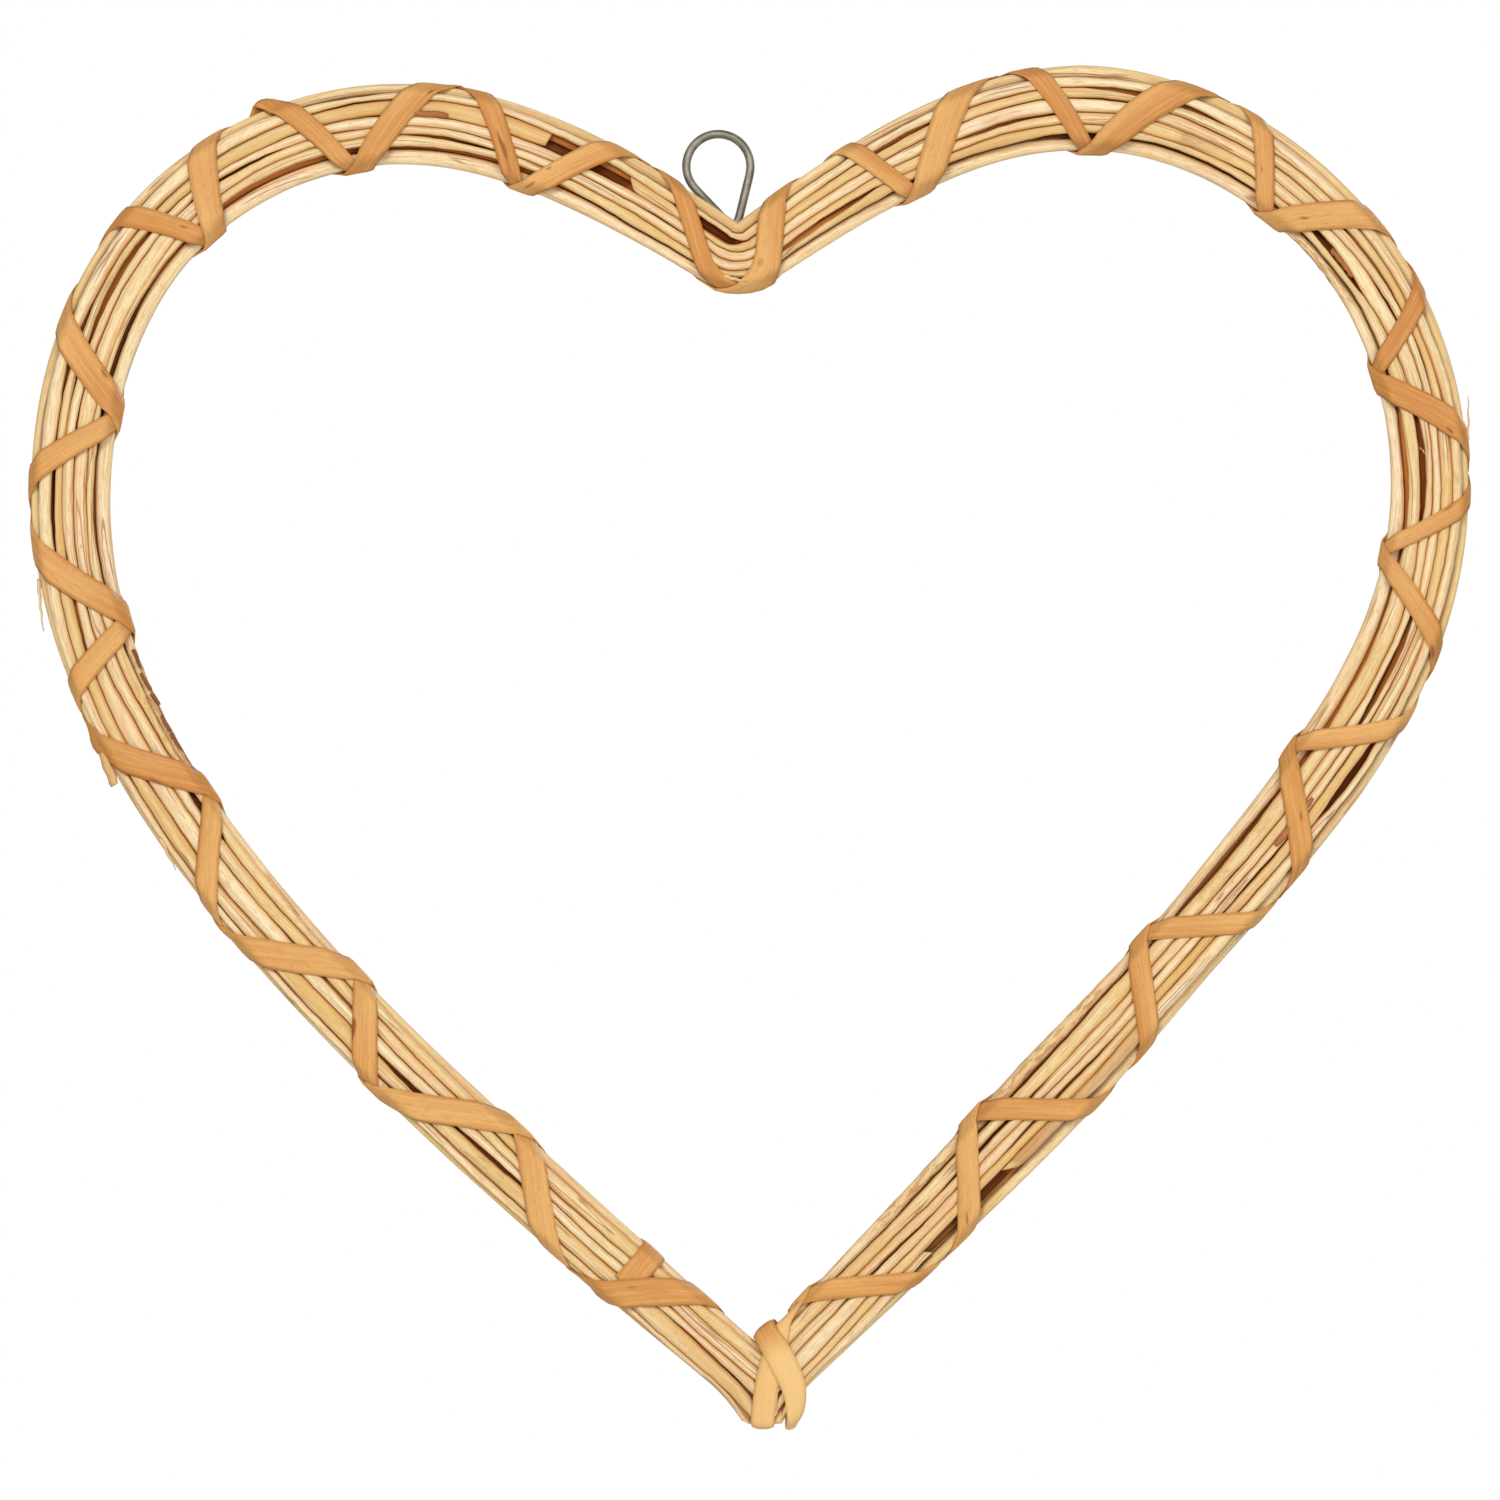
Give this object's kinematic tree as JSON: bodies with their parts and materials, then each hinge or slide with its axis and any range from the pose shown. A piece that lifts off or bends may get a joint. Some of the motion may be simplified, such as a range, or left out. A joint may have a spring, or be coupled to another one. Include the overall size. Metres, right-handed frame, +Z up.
{
  "type": "wicker heart decoration",
  "caption": "Open heart of bundled peeled willow rods, cross-lashed with two willow strips, with a bent wire eye at the notch for hanging",
  "frame": {"origin": "Inner top of the wire eye, where a hook or nail bears, in the middle of the wire's thickness front to back", "axes": "+X to the viewer's right across the heart, +Y to the back, +Z up; the front with the seen passes of the lashing faces -Y"},
  "size_m": [0.2976, 0.0113, 0.28],
  "materials": {
    "willow_pale": "bare peeled willow, pale cream, satin",
    "willow_golden": "bare peeled willow, golden, satin",
    "skein_over": "split willow strip, orange tan, smooth",
    "skein_under": "split willow strip, orange tan, smooth",
    "galvanised_wire": "dull galvanised wire"
  },
  "bodies": {
    "root": {"rod_front_1": "willow_pale", "rod_front_2": "willow_pale", "rod_front_3": "willow_pale", "rod_front_4_left": "willow_golden", "rod_front_4_right": "willow_golden", "rod_front_5_left": "willow_pale", "rod_front_5_right": "willow_pale", "rod_middle_1": "willow_pale", "rod_middle_2": "willow_pale", "rod_middle_3": "willow_golden", "rod_middle_4": "willow_pale", "rod_middle_5": "willow_pale", "rod_middle_6": "willow_golden", "rod_back_1": "willow_pale", "rod_back_2": "willow_golden", "rod_back_3": "willow_pale", "rod_back_4": "willow_pale", "rod_back_5_left": "willow_golden", "rod_back_5_right": "willow_golden", "lashing_strip_over": "skein_over", "lashing_strip_under": "skein_under", "wire_hanger": "galvanised_wire"}
  },
  "joints": []
}
